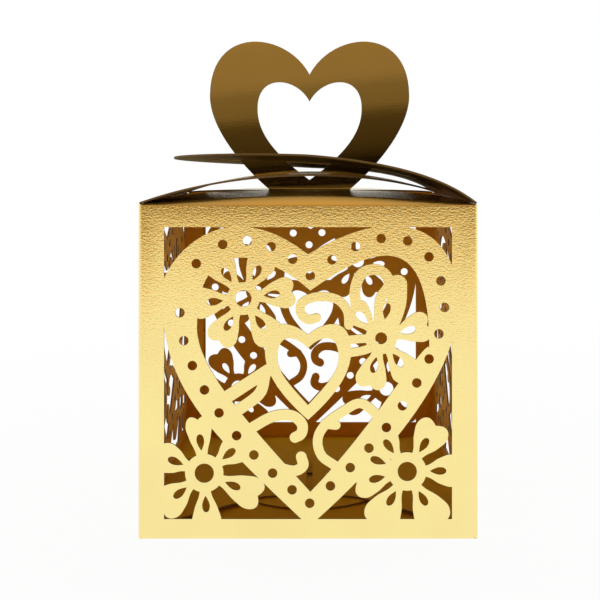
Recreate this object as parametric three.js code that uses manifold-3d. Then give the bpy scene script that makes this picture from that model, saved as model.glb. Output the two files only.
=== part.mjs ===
// Laser-cut paper party box: one folded sheet with lattice walls, a locked bottom and a pair of heart handles
// that stand through the slots of two bowed lid flaps. Millimetres, +Z up, front towards -Y.
import * as THREE from 'three';
import { mergeVertices } from 'three/addons/utils/BufferGeometryUtils.js';
import Module from 'manifold-3d';

const wasm = await Module();
wasm.setup();

// Card and body
const card = 0.35;
const creaseGap = 0.05;
const layerGap = 0.08;
const boxWidth = 60;
const boxDepth = 60;
const wallHeight = 59.2;

// Lattice window in each wall
const sideBorder = 4.6;
const topBorder = 4.1;
const bottomBorder = 3.6;

// Glue tab and its adhesive inside the rear left corner
const tabWidth = 3.8;
const tabEndInset = 3;
const adhesiveThickness = 0.08;
const adhesiveInset = 0.5;
const gluePlay = 0.02;

// Inner lid flaps, front and back
const lidFlapEndInset = 0.75;
const lidFlapBulge = 0.05;
const handleBaseWidth = 17;
const handleFaceGap = 0.2;

// Heart handles: heights are above the wall tops, and the shoulder, crown, waist and flank are what the
// outline's curves aim at between the notch, the widest place and the tip
const handleHalfWidth = 20.8;
const handleNotch = 25.6;
const handleShoulder = 34.8;
const handleCrown = 36.3;
const handleWidest = 21.1;
const handleWaist = 15.3;
const handleFlank = 7.8;
const handleShoulderShare = 0.23;
const handleFlankShare = 0.75;
const gripHalfWidth = 10.9;
const gripNotch = 20;
const gripShoulder = 25.1;
const gripCrown = 26.2;
const gripWidest = 18.6;
const gripWaist = 14.3;
const gripFlank = 9.8;
const gripTip = 3.6;
const gripShoulderShare = 0.24;
const gripFlankShare = 0.79;

// Bowed outer lid flaps: the outer one's tip stands high, and the inner one's tip rests on the far wall
const archStart = 0.25;
const outerTipGap = 1.8;
const outerNearRise = 7.2;
const outerFarRise = 7.6;
const outerTipRise = 8.1;
const outerRoll = 0.05;
const innerTipGap = 2.6;
const innerNearRise = 7;
const innerFarRise = 7.1;
const innerTipRise = 0.8;
const archSlotWidth = 5;
const archSlotPlay = 1.45;

// Bottom lock, from the outermost flap up
const bottomSideInset = 0.75;
const bottomTaper = 1;
const bottomCorner = 6;
const backFlapStop = 2;
const lockSlotPlay = 0.9;
const lockSlotMargin = 3.5;
const tongueWidth = 25;
const tongueRadius = 17;
const tongueReach = 20.6;
const tongueRamp = 4.5;
const sideFlapGap = 1.2;
const sideFlapCornerInset = 1.1;
const sideFlapLobe = 7;
const sideFlapSweep = 15.2;
const sideFlapNotch = 5;

// Smoothness of the outlines
const heartSteps = 8;
const centreSteps = 5;
const handleSteps = 14;
const gripSteps = 10;
const petalSteps = 4;
const stepsPerUnit = 0.39;
const dotSides = 6;
const archSteps = 14;
const capAngles = [60, 0, -60];

// Worked out from the sizes above
const halfWidth = boxWidth / 2;
const halfDepth = boxDepth / 2;
const innerHalfWidth = halfWidth - card - creaseGap;
const innerHalfDepth = halfDepth - card - creaseGap;

// A closed geometry as a solid that can be joined and cut
function solidFrom(geometry) {
  geometry.deleteAttribute('normal');
  geometry.deleteAttribute('uv');
  const merged = mergeVertices(geometry, 1e-4);
  return new wasm.Manifold(new wasm.Mesh({
    numProp: 3,
    vertProperties: new Float32Array(merged.attributes.position.array),
    triVerts: new Uint32Array(merged.index.array),
  }));
}

// A joined or cut solid back as a three.js geometry
function geometryFrom(solid) {
  const mesh = solid.getMesh();
  const geometry = new THREE.BufferGeometry();
  geometry.setAttribute('position', new THREE.BufferAttribute(new Float32Array(mesh.vertProperties), 3));
  geometry.setIndex(new THREE.BufferAttribute(new Uint32Array(mesh.triVerts), 1));
  geometry.computeVertexNormals();
  return geometry;
}

function plate(shape, thickness, steps = 6) {
  return new THREE.ExtrudeGeometry(shape, { depth: thickness, bevelEnabled: false, curveSegments: steps });
}

const toVector = ([x, y]) => new THREE.Vector2(x, y);
const shapeFrom = (points) => new THREE.Shape(points.map(toVector));

// The right half of a heart as two Bezier curves, from its seven points: notch, shoulder, crown, widest,
// waist, flank and tip
function heartHalf(heart) {
  const curve = (points) => new THREE.CubicBezierCurve(...points.map(toVector));
  return [curve(heart.slice(0, 4)), curve(heart.slice(3))];
}

// A whole heart outline, counter-clockwise so that a hole in it is turned the right way
function heartPoints(heart, steps) {
  const [lobe, flank] = heartHalf(heart);
  const right = [...lobe.getPoints(steps), ...flank.getPoints(steps).slice(1)];
  const left = right.slice(1).reverse().map((p) => new THREE.Vector2(-p.x, p.y));
  const closed = heart.at(-1)[0] === 0 ? left.slice(1) : left;
  return [...right, ...closed].reverse();
}

// The lattice is drawn in its own units, in a window of this many across and up, and fitted to each wall
const pattern = { across: 50.8, up: 51.5, middle: -0.25 };
const ringOuter = [[0, 19.7], [9.5, 28.5], [27.2, 29.5], [27.2, 11.5], [27.2, 3], [18.5, -9.5], [0, -27.6]];
const ringInner = [[0, 14.2], [7, 19.3], [20.8, 24.6], [20.8, 11.3], [20.8, 4], [12.5, -7], [0, -21.5]];
const centreOuter = [[0, 6.5], [2.2, 8.6], [7.6, 10.4], [7.6, 3.6], [7.6, -0.6], [4.4, -4.6], [0, -8.5]];
const centreInner = [[0, 4.1], [1.6, 6], [5.4, 7.6], [5.4, 2.4], [5.4, -0.3], [2.6, -3], [0, -5.9]];

// Dots along the middle of the ring, which sits a little to the right of the window's middle
const ringDots = {
  path: [[0, 17], [8.3, 24.4], [23.6, 27.2], [23.6, 12], [23.6, 4], [15.6, -8.3], [0, -23.4]],
  radius: 0.85, perSide: 15, shift: 0.25,
};

// Daisies: each petal is [direction in degrees, reach], and its teardrop lies drop from the daisy's middle
const daisies = [
  {
    middle: [-11.4, 12.9], eye: 1.45, disc: 2.9, drop: 3.6,
    petals: [[125, 10], [63, 8.6], [8, 9.2], [-55, 9.4], [-120, 9.2], [186, 9.4]],
  },
  {
    middle: [12.9, 5.9], eye: 1.05, disc: 2.8, drop: 3.4,
    petals: [[133, 7.8], [79, 6.8], [16, 9], [-53, 8.8], [-104, 9.2]],
  },
  {
    middle: [-18.7, -17.8], eye: 1.7, disc: 3.4, drop: 4,
    petals: [[95, 10.2], [37, 9.4], [-23, 10.8], [-87, 10.4], [217, 10.2], [157, 9]],
  },
  {
    middle: [17.5, -17.6], eye: 1.7, disc: 3.4, drop: 4,
    petals: [[126, 9], [58, 10.2], [1, 9.6], [-60, 11], [-120, 11], [193, 9.8], [160, 8.4]],
  },
];
const teardrop = { length: 2.9, width: 1.35 };

// Scrolls: a width, then the points that the stroke's middle line runs through
const scrolls = [
  [1.6, [7.2, 8.2], [6.9, 10.8], [5, 12.8], [1.6, 13.2], [-1, 12.2], [-1.3, 10.4], [0, 9.2], [1.5, 9.5]],
  [1.9, [12.6, 9], [12.8, 12.8], [14.4, 15.6], [12.6, 17.9], [9.6, 17.4], [8.3, 14.4], [8.6, 11]],
  [3.4, [14.4, 8.4], [15.6, 12], [15.8, 15.4]],
  [1.5, [12.2, 4.6], [9.6, 3.7], [6.6, 3.2]],
  [1.5, [11.6, 5.9], [9.4, 5.8], [7, 5.6]],
  [2.2, [-6.8, 0.4], [-10.5, -2], [-14.8, -4.8]],
  [2, [-7.6, -0.6], [-8.6, -3.9], [-12.6, -7]],
  [1.9, [-10.4, -10.2], [-6.4, -8], [-3, -7.7], [-1.1, -9.2], [-1.2, -10.9], [-2.3, -11.6]],
  [1.9, [-5.6, -16.8], [-2.6, -17.5], [-0.9, -16.6], [-1.2, -15]],
  [1.7, [12.8, -8.2], [9.4, -5.6], [6.2, -7], [3, -9.4], [1.7, -12], [2.4, -14.8], [4.8, -16.6]],
  [1.7, [3, -9.2], [4.9, -9.4]],
];

// One petal along +X, swelling from the daisy's disc to two lobes with a notch between them
function petalShape(disc, reach) {
  const swell = 0.29 * reach;
  const edge = [
    [disc, 1], [0.62 * reach, 0.85 * swell], [0.86 * reach, swell],
    [0.99 * reach, 0.62 * swell], [0.93 * reach, 0],
  ];
  const upper = new THREE.SplineCurve(edge.map(toVector)).getPoints(petalSteps);
  const lower = upper.slice(0, -1).reverse().map((p) => new THREE.Vector2(p.x, -p.y));
  return new THREE.Shape([new THREE.Vector2(0, 1), ...upper, ...lower, new THREE.Vector2(0, -1)]);
}

// A teardrop with its point towards the daisy's middle
function dropShape(start) {
  const { length, width } = teardrop;
  return shapeFrom([
    [start, 0], [start + 0.6 * length, -0.5 * width], [start + 0.95 * length, -0.32 * width],
    [start + 0.95 * length, 0.32 * width], [start + 0.6 * length, 0.5 * width],
  ]);
}

// A stroke of even width with round ends along a smooth line through the points
function strokeShape(width, points) {
  const line = new THREE.SplineCurve(points.map(toVector));
  const count = Math.max(4, Math.round(stepsPerUnit * line.getLength()));
  const middle = line.getSpacedPoints(count);
  const side = (turn) => middle.map((p, i) => {
    const along = line.getTangentAt(i / count);
    return new THREE.Vector2(p.x - turn * along.y * width / 2, p.y + turn * along.x * width / 2);
  });
  const cap = (at, towards) => capAngles.map((angle) => {
    const turned = towards.clone().rotateAround(new THREE.Vector2(), THREE.MathUtils.degToRad(angle));
    return at.clone().addScaledVector(turned, width / 2);
  });
  const end = cap(middle[count], line.getTangentAt(1));
  const start = cap(middle[0], line.getTangentAt(0).negate());
  return new THREE.Shape([...side(1), ...end, ...side(-1).reverse(), ...start]);
}

function discShape(x, y, radius, sides) {
  const points = Array.from({ length: sides }, (_, i) => {
    const angle = 2 * Math.PI * (i + 0.5) / sides;
    return [x + radius * Math.cos(angle), y + radius * Math.sin(angle)];
  });
  return shapeFrom(points);
}

function turned(shape, [x, y], degrees) {
  const angle = THREE.MathUtils.degToRad(degrees);
  return new THREE.Shape(shape.getPoints().map((p) =>
    p.clone().rotateAround(new THREE.Vector2(), angle).add(new THREE.Vector2(x, y))));
}

// Positive motifs, then the holes cut through them
function latticeShapes() {
  const heartBand = (outer, inner, steps, shift) => {
    const moved = (points) => points.map((p) => new THREE.Vector2(p.x + shift, p.y));
    const band = new THREE.Shape(moved(heartPoints(outer, steps)));
    band.holes.push(new THREE.Path(moved(heartPoints(inner, steps))));
    return band;
  };
  const motifs = [
    heartBand(ringOuter, ringInner, heartSteps, ringDots.shift),
    heartBand(centreOuter, centreInner, centreSteps, 0),
    ...scrolls.map(([width, ...points]) => strokeShape(width, points)),
  ];
  const holes = [];
  for (const { middle, eye, disc, drop, petals } of daisies) {
    motifs.push(discShape(...middle, disc, 10));
    holes.push(discShape(...middle, eye, 9));
    for (const [direction, reach] of petals) {
      motifs.push(turned(petalShape(disc, reach), middle, direction));
      holes.push(turned(dropShape(drop), middle, direction));
    }
  }
  const { radius, perSide, shift } = ringDots;
  const path = new THREE.CurvePath();
  heartHalf(ringDots.path).forEach((curve) => path.add(curve));
  for (const p of path.getSpacedPoints(perSide + 1)) {
    holes.push(discShape(shift + p.x, p.y, radius, dotSides));
    if (p.x > radius) holes.push(discShape(shift - p.x, p.y, radius, dotSides));
  }
  return { motifs, holes };
}

// One wall, drawn from outside: X across, Y up from the floor, thickness along +Z
function wallGeometry(width, edgeInset) {
  const halfWindow = width / 2 - sideBorder;
  const windowHeight = wallHeight - topBorder - bottomBorder;
  const windowTop = wallHeight - topBorder;
  const halfPlate = width / 2 - edgeInset;
  const frame = shapeFrom([
    [-halfPlate, 0], [halfPlate, 0], [halfPlate, wallHeight], [-halfPlate, wallHeight],
  ]);
  frame.holes.push(shapeFrom([
    [-halfWindow, bottomBorder], [-halfWindow, windowTop],
    [halfWindow, windowTop], [halfWindow, bottomBorder],
  ]));
  const place = (p) => new THREE.Vector2(
    2 * p.x * halfWindow / pattern.across,
    bottomBorder + windowHeight * (0.5 + (p.y - pattern.middle) / pattern.up));
  const fit = (shape) => {
    const placed = new THREE.Shape(shape.getPoints().map(place));
    placed.holes = shape.holes.map((hole) => new THREE.Path(hole.getPoints().map(place)));
    return placed;
  };
  const { motifs, holes } = latticeShapes();
  let wall = solidFrom(plate(frame, card));
  for (const motif of motifs) wall = wall.add(solidFrom(plate(fit(motif), card))).asOriginal();
  for (const hole of holes) {
    wall = wall.subtract(solidFrom(plate(fit(hole), 3 * card).translate(0, 0, -card)));
  }
  return geometryFrom(wall);
}

// An inner lid flap, drawn flat: hinge along X at Y = 0, thickness below Z = 0
function lidFlapGeometry() {
  const halfHinge = halfWidth - lidFlapEndInset;
  const halfBase = handleBaseWidth / 2;
  const endY = halfDepth - card - 2 * creaseGap - (handleFaceGap / 2 + card);
  const bulge = endY / Math.sqrt(1 - (halfBase / halfHinge) ** 2);
  const shape = new THREE.Shape();
  shape.moveTo(-halfHinge, creaseGap);
  shape.lineTo(halfHinge, creaseGap);
  const turn = Math.acos(halfBase / halfHinge);
  shape.absellipse(0, creaseGap, halfHinge, bulge - creaseGap, 0, turn, false, 0);
  shape.absellipse(0, creaseGap, halfHinge, bulge - creaseGap, Math.PI - turn, Math.PI, false, 0);
  return plate(shape, card, 14).translate(0, 0, -card);
}

// A heart handle, drawn upright: base on Y = 0, thickness along +Z
function handleGeometry(baseHeight) {
  const heart = [
    [0, handleNotch], [handleShoulderShare * handleHalfWidth, handleShoulder], [handleHalfWidth, handleCrown],
    [handleHalfWidth, handleWidest], [handleHalfWidth, handleWaist],
    [handleFlankShare * handleHalfWidth, handleFlank], [handleBaseWidth / 2, baseHeight],
  ];
  const grip = [
    [0, gripNotch], [gripShoulderShare * gripHalfWidth, gripShoulder], [gripHalfWidth, gripCrown],
    [gripHalfWidth, gripWidest], [gripHalfWidth, gripWaist],
    [gripFlankShare * gripHalfWidth, gripFlank], [0, gripTip],
  ];
  const shape = new THREE.Shape(heartPoints(heart, handleSteps));
  shape.holes.push(new THREE.Path(heartPoints(grip, gripSteps)));
  return plate(shape, card).translate(0, -baseHeight, 0);
}

// A bowed lid flap: hinge at X = 0, reaching along +X, bow and roll above the hinge, middle on Y = 0
function archGeometry(bow, roll) {
  const reach = bow.at(-1)[0];
  const middle = new THREE.CubicBezierCurve(...bow.map(toVector));
  const line = middle.getPoints(archSteps);
  const side = (turn) => line.map((p, i) => {
    const along = middle.getTangent(i / archSteps);
    return new THREE.Vector2(p.x - turn * along.y * card / 2, p.y + turn * along.x * card / 2);
  });
  const ribbon = plate(new THREE.Shape([...side(-1), ...side(1).reverse()]), boxDepth);
  ribbon.rotateX(Math.PI / 2).translate(0, halfDepth, 0);
  const halfHinge = halfDepth - creaseGap;
  const outline = new THREE.Shape();
  outline.moveTo(-card, -halfHinge);
  outline.lineTo(archStart, -halfHinge);
  outline.absellipse(archStart, 0, reach - archStart, halfHinge, -Math.PI / 2, Math.PI / 2, false, 0);
  outline.lineTo(-card, halfHinge);
  const slot = new THREE.Path();
  const slotRadius = archSlotWidth / 2;
  const slotTurn = handleHalfWidth + archSlotPlay - slotRadius;
  slot.absarc(halfWidth + slotTurn, 0, slotRadius, Math.PI / 2, -Math.PI / 2, true);
  slot.absarc(halfWidth - slotTurn, 0, slotRadius, -Math.PI / 2, -1.5 * Math.PI, true);
  outline.holes.push(slot);
  const prism = solidFrom(plate(outline, boxWidth, 14).translate(0, 0, -boxWidth / 3));
  const geometry = geometryFrom(solidFrom(ribbon).intersect(prism));
  const position = geometry.attributes.position;
  for (let i = 0; i < position.count; i += 1) {
    const reached = THREE.MathUtils.clamp(position.getX(i) / halfWidth, 0, 1);
    position.setZ(i, position.getZ(i) - roll * reached * position.getY(i));
  }
  geometry.computeVertexNormals();
  return geometry;
}

function part(name, geometry, colour) {
  const pearl = new THREE.MeshStandardMaterial({ color: colour, roughness: 0.45, metalness: 0.5 });
  const mesh = new THREE.Mesh(geometry, pearl);
  mesh.name = name;
  return mesh;
}

const box = new THREE.Group();

// Four walls, turned about the box's middle, and the glue tab with its adhesive
const wallSides = [
  ['front_wall', 0, boxWidth, halfDepth, 0],
  ['right_wall', 1, boxDepth, halfWidth, card + creaseGap],
  ['back_wall', 2, boxWidth, halfDepth, 0],
  ['left_wall', 3, boxDepth, halfWidth, card + creaseGap],
];
for (const [name, quarter, width, out, edgeInset] of wallSides) {
  const turn = new THREE.Group();
  turn.rotation.z = quarter * Math.PI / 2;
  const wall = part(name, wallGeometry(width, edgeInset), '#e2bd63');
  wall.rotation.x = Math.PI / 2;
  wall.position.y = card - out;
  turn.add(wall);
  box.add(turn);
}

const tabHeight = wallHeight - 2 * tabEndInset;
const tabFace = halfDepth - card - 2 * gluePlay - adhesiveThickness;
const tab = part('glue_tab', new THREE.BoxGeometry(tabWidth, card, tabHeight), '#8d6420');
tab.position.set(-innerHalfWidth + tabWidth / 2, tabFace - card / 2, wallHeight / 2);
const adhesive = part('adhesive_strip', new THREE.BoxGeometry(
  tabWidth - 2 * adhesiveInset, adhesiveThickness, tabHeight - 2 * adhesiveInset), '#efe7d2');
adhesive.position.set(tab.position.x, halfDepth - card - gluePlay - adhesiveThickness / 2, wallHeight / 2);
box.add(tab, adhesive);

// Inner lid flaps with their heart handles, and the two bowed flaps over them
const flapReach = halfDepth - card - creaseGap - (handleFaceGap / 2 + card);
const handleBase = flapReach * lidFlapBulge + creaseGap;
for (const [name, quarter] of [['front', 0], ['back', 2]]) {
  const turn = new THREE.Group();
  turn.rotation.z = quarter * Math.PI / 2;
  const flap = part(`${name}_lid_flap`, lidFlapGeometry(), '#8a621f');
  flap.rotation.x = Math.atan(lidFlapBulge);
  flap.position.set(0, -innerHalfDepth, wallHeight);
  const handle = part(`${name}_heart_handle`, handleGeometry(handleBase), '#7d5a22');
  handle.rotation.x = Math.PI / 2;
  handle.position.set(0, -handleFaceGap / 2, wallHeight + handleBase);
  turn.add(flap, handle);
  box.add(turn);
}

const outerReach = boxWidth - outerTipGap;
const outerBow = [
  [archStart, archStart], [0.17 * outerReach, outerNearRise], [0.45 * outerReach, outerFarRise],
  [outerReach, outerTipRise],
];
const innerReach = boxWidth - innerTipGap;
const innerBow = [
  [archStart, archStart], [0.31 * innerReach, innerNearRise], [0.7 * innerReach, innerFarRise],
  [innerReach, innerTipRise],
];
const outerFlap = part('right_arch_flap', archGeometry(outerBow, -outerRoll), '#b98f3f');
outerFlap.rotation.z = Math.PI;
const innerFlap = part('left_arch_flap', archGeometry(innerBow, 0), '#b98f3f');
outerFlap.position.set(halfWidth, 0, wallHeight);
innerFlap.position.set(-halfWidth, 0, wallHeight);
box.add(outerFlap, innerFlap);

// Bottom: each flap lies one layer above the one outside it
const layer = card + layerGap;
const bottomHalfHinge = halfWidth - bottomSideInset;

// A bottom flap reaching along +Y from its hinge at Y = 0, tapered and round at its free corners
function bottomFlapShape(reach) {
  const free = bottomHalfHinge - bottomTaper - bottomCorner;
  const shape = new THREE.Shape();
  shape.moveTo(-bottomHalfHinge, creaseGap);
  shape.lineTo(bottomHalfHinge, creaseGap);
  shape.absarc(free, reach - bottomCorner, bottomCorner, 0, Math.PI / 2, false);
  shape.absarc(-free, reach - bottomCorner, bottomCorner, Math.PI / 2, Math.PI, false);
  return shape;
}

const backFlapReach = innerHalfDepth - backFlapStop;
const backFlap = part('bottom_back_flap', plate(bottomFlapShape(backFlapReach), card), '#8a621f');
backFlap.rotation.z = Math.PI;
backFlap.position.y = innerHalfDepth;
box.add(backFlap);

// The front flap reaches past its slot, which the back flap's tongue comes up through
const tongueStart = backFlapStop - creaseGap;
const slotMiddle = innerHalfDepth + tongueStart - tongueRamp / 2;
const halfSlotLength = tongueWidth / 2 + lockSlotPlay;
const halfSlotWidth = tongueRamp / 2 + lockSlotPlay / 2;
const frontShape = bottomFlapShape(slotMiddle + halfSlotWidth + lockSlotMargin);
frontShape.holes.push(shapeFrom([
  [-halfSlotLength, slotMiddle - halfSlotWidth], [-halfSlotLength, slotMiddle + halfSlotWidth],
  [halfSlotLength, slotMiddle + halfSlotWidth], [halfSlotLength, slotMiddle - halfSlotWidth],
]));
const frontFlap = part('bottom_front_flap', plate(frontShape, card), '#8a621f');
frontFlap.position.set(0, -innerHalfDepth, layer);
box.add(frontFlap);

// The back flap's tongue, bent up through the slot and lying on the front flap
const tongueBase = card / 2;
const tongueLevel = 2 * layer + card / 2;
const tongueLine = [
  [tongueStart, tongueBase], [tongueStart - tongueRamp, tongueLevel],
  [tongueStart - tongueReach, tongueLevel],
];
const tongueSide = (offset) => tongueLine.map(([y, z]) => [y, z + offset]);
const tongueEdge = shapeFrom([...tongueSide(-card / 2), ...tongueSide(card / 2).reverse()]);
const tongueRibbon = plate(tongueEdge, tongueWidth);
tongueRibbon.rotateX(Math.PI / 2).rotateZ(Math.PI / 2).translate(-tongueWidth / 2, 0, 0);
const tongueOutline = new THREE.Shape();
const tongueTip = tongueStart - tongueReach;
const tongueTurn = Math.asin(tongueWidth / 2 / tongueRadius);
tongueOutline.moveTo(tongueWidth / 2, tongueStart + card);
tongueOutline.lineTo(-tongueWidth / 2, tongueStart + card);
tongueOutline.absarc(0, tongueTip + tongueRadius, tongueRadius, 1.5 * Math.PI - tongueTurn,
  1.5 * Math.PI + tongueTurn, false);
const tonguePrism = solidFrom(plate(tongueOutline, 8 * layer, 12).translate(0, 0, -layer));
box.add(part('bottom_tongue', geometryFrom(solidFrom(tongueRibbon).intersect(tonguePrism)), '#8a621f'));

// Two side flaps meet over the tongue, each with a swept front and rear edge ending in a round lobe
for (const [name, turn] of [['bottom_right_flap', 0], ['bottom_left_flap', Math.PI]]) {
  const hingeX = innerHalfWidth - creaseGap;
  const hingeY = innerHalfDepth - sideFlapCornerInset;
  const seamX = sideFlapGap / 2;
  const [lobeX, lobeY] = [seamX + sideFlapLobe, hingeY - sideFlapSweep];
  const notchY = lobeY - sideFlapNotch;
  const outline = new THREE.Shape();
  outline.moveTo(hingeX, -hingeY);
  outline.lineTo(hingeX, hingeY);
  outline.bezierCurveTo(0.55 * hingeX, 0.7 * hingeY, 1.5 * lobeX, lobeY + 0.7, lobeX, lobeY);
  outline.quadraticCurveTo(seamX, lobeY - 0.2 * sideFlapNotch, seamX, notchY);
  outline.lineTo(seamX, -notchY);
  outline.quadraticCurveTo(seamX, 0.2 * sideFlapNotch - lobeY, lobeX, -lobeY);
  outline.bezierCurveTo(1.5 * lobeX, -lobeY - 0.7, 0.55 * hingeX, -0.7 * hingeY, hingeX, -hingeY);
  const flap = part(name, plate(outline, card, 8), '#8a621f');
  flap.rotation.z = turn;
  flap.position.z = 3 * layer;
  box.add(flap);
}

export default box;
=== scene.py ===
"""Folds a laser-cut paper box round its CAD frame: lattice walls, lid and bottom flaps of gold pearl card."""

import math

import bmesh
import bpy
from bpy.props import FloatProperty, FloatVectorProperty, IntProperty, PointerProperty
from mathutils import Matrix, Vector
from mathutils.geometry import interpolate_bezier


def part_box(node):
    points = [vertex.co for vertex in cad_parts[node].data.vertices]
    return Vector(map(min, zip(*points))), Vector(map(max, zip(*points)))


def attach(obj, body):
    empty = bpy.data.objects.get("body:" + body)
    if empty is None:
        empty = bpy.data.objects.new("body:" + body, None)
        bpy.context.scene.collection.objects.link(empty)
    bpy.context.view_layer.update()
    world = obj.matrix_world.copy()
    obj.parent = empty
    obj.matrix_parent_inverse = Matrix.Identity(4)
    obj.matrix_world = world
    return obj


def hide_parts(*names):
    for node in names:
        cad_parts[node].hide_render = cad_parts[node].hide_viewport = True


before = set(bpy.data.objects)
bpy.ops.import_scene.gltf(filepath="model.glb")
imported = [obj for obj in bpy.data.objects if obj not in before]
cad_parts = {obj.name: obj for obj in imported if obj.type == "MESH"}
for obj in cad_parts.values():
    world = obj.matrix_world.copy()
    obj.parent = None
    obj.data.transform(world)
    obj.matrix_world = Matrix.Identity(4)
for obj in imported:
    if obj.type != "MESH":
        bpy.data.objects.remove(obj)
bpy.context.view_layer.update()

bl_info = {
    "name": "Laser-Cut Paper Box",
    "version": (1, 0, 0),
    "blender": (4, 5, 0),
    "location": "View3D > Sidebar > Paper Box",
    "description": "Folds a party favour box of laser-cut pearl card around its CAD frame",
    "category": "Add Mesh",
}

MM = 0.001


def node_box(node):
    """The lowest and highest corners of a CAD node in millimetres."""
    low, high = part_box(node)
    return Vector(low) / MM, Vector(high) / MM


# The box. Sizes are in millimetres, apart from those of the settings and of the floor, lights and camera
FRONT_LOW, FRONT_HIGH = node_box("front_wall")
CARD = FRONT_HIGH.y - FRONT_LOW.y
HALF_WIDTH = FRONT_HIGH.x
HALF_DEPTH = -FRONT_LOW.y
WALL_HEIGHT = FRONT_HIGH.z

# The walls' creases: how far the card rolls on at the top and at the bottom, in degrees
TOP_TURN = {"front": 35, "right": 55, "back": 35, "left": 55}
BOTTOM_TURN = {"front": 70, "right": 90, "back": 90, "left": 90}
CREASE_STEPS, CORNER_STEPS = 5, 6
CORNER_SHORT = 0.1  # from the ends of the upright corner bends to the walls' ends
SEAM_SHORT = 0.02  # from the back wall's free edge to the corner
TAB_SLANT = 1.2

# For picking a sheet's edges
NEAR = 0.01  # places nearer to each other than this are one
FLAT = 0.001  # card less than this below its sheet is still flat

# The lattice, in the pattern's own units. Each half of a heart, right one first, is given by seven points:
# notch, shoulder, crown, widest, waist, flank and tip. The outline runs through notch, widest and tip
PATTERN_ACROSS, PATTERN_UP, PATTERN_MIDDLE = 50.8, 51.5, -0.25
RING_OUTER = (
    ((0, 20.7), (17.6, 31.3), (26.5, 23.8), (26.5, 12.4), (26.5, 0.4), (15.7, -13.7), (0.2, -27.3)),
    ((0, 20.7), (-16, 33.2), (-25.85, 18.4), (-25.85, 14.5), (-25.85, -2.6), (-18.7, -9.5), (0.2, -27.3)),
)
RING_INNER = (
    ((0.4, 14.3), (14, 24), (21.4, 23.5), (21.4, 4.1), (21.4, 6.9), (11.5, -9.9), (0.4, -21.2)),
    ((0.4, 14.3), (-7, 20.9), (-19.6, 25.3), (-19.6, 7.8), (-19.6, 1.1), (-11.9, -7.8), (0.4, -21.2)),
)
RING_MIDDLE = (
    ((0.4, 16.9), (18.7, 31.8), (24.1, 18.2), (24.1, 11.8), (24.1, 7.6), (19.6, -7.9), (0.3, -23.2)),
    ((0.4, 16.9), (-10.1, 28.7), (-22.6, 22), (-22.6, 10.5), (-22.6, 1), (-14.1, -12.8), (0.3, -23.2)),
)
CENTRE_OUTER = ((0, 6.5), (2.2, 8.6), (7.6, 10.4), (7.6, 3.6), (7.6, -0.6), (4.4, -4.6), (0, -8.5))
CENTRE_INNER = ((0, 4.1), (1.6, 6), (5.4, 7.6), (5.4, 2.4), (5.4, -0.3), (2.6, -3), (0, -5.9))

# The ring's dots, and those that stand off their even places by a share of the step, counted from the notch
RING_DOT_RADIUS = 0.85
DOT_SHIFTS = (
    {},
    {1: -0.08, 2: -0.13, 3: -0.2, 4: -0.25, 8: 0.07, 9: 0.07, 10: 0.1, 11: 0.13, 12: 0.22, 13: 0.2, 14: 0.19,
     15: 0.16},
)

# Daisies: middle, radius of the eye and of the disc, start of the teardrops, then each petal's direction, its
# reach and, where it isn't the usual one, its fullness
DAISIES = (
    ((-11.4, 12.9), 1.45, 2.9, 3.6, ((125, 10), (63, 8.6), (8, 9.2), (-55, 9.4), (-120, 9.2), (186, 9.4))),
    ((12.9, 5.9), 1.05, 2.8, 3.4, ((133, 7.8), (79, 6.8), (16, 9), (-53, 8.8), (-104, 9.2))),
    ((-18.3, -17.9), 1.7, 3.4, 4,
     ((97, 10.2, 0.22), (38, 9.4), (-23, 11, 0.26), (-87, 10.4, 0.24), (219, 10.2), (158, 9))),
    ((17.5, -17.6), 1.7, 3.4, 4,
     ((126, 9), (58, 10.2), (1, 9.6), (-60, 11), (-120, 11), (193, 9.8), (160, 8.4))),
)
FULLNESS = 0.29
PETAL_EDGE = ((0.62, 0.85), (0.86, 1), (0.985, 0.6))  # shares of the petal's reach and of its half width
PETAL_NOTCH = 0.93
DROP_LENGTH, DROP_WIDTH, DROP_WIDEST = 2.9, 1.35, 0.68

# Scrolls: a width, then the points that the stroke's middle line runs through
SCROLLS = (
    (1.6, (7.2, 8.2), (6.9, 10.8), (5, 12.8), (1.6, 13.2), (-1, 12.2), (-1.3, 10.4), (0, 9.2), (1.5, 9.5)),
    (1.9, (12.6, 9), (12.8, 12.8), (14.4, 15.6), (12.6, 17.9), (9.6, 17.4), (8.3, 14.4), (8.6, 11)),
    (3.4, (14.4, 8.4), (15.6, 12), (15.8, 15.4)),
    (1.5, (12.2, 4.6), (9.6, 3.7), (6.6, 3.2)),
    (1.5, (11.6, 5.9), (9.4, 5.8), (7, 5.6)),
    (2.2, (-6.8, 0.4), (-10.5, -2), (-14.8, -4.8)),
    (2, (-7.6, -0.6), (-8.6, -3.9), (-12.6, -7)),
    (1.9, (-10.4, -10.2), (-6.4, -8), (-3, -7.7), (-1.1, -9.2), (-1.2, -10.9), (-2.3, -11.6)),
    (1.9, (-5.6, -16.8), (-2.6, -17.5), (-0.9, -16.6), (-1.2, -15)),
    (1.7, (12.8, -8.2), (9.4, -5.6), (6.2, -7), (3, -9.4), (1.7, -12), (2.4, -14.8), (4.8, -16.6)),
    (1.7, (3, -9.2), (4.9, -9.4)),
)
STROKE_STEPS = 7
STROKE_SPACING = 0.15

# Inner lid flaps: their slope, the gaps at their ends, the lip below the hinge and the crown in the middle
LID_SLOPE = 0.05
LID_HINGE_GAP, LID_END_GAP = 0.05, 0.2
LID_LIP, LIP_DROP = 0.35, 0.25
LID_CROWN, LID_RISE = 1.45, 0.7

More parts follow.
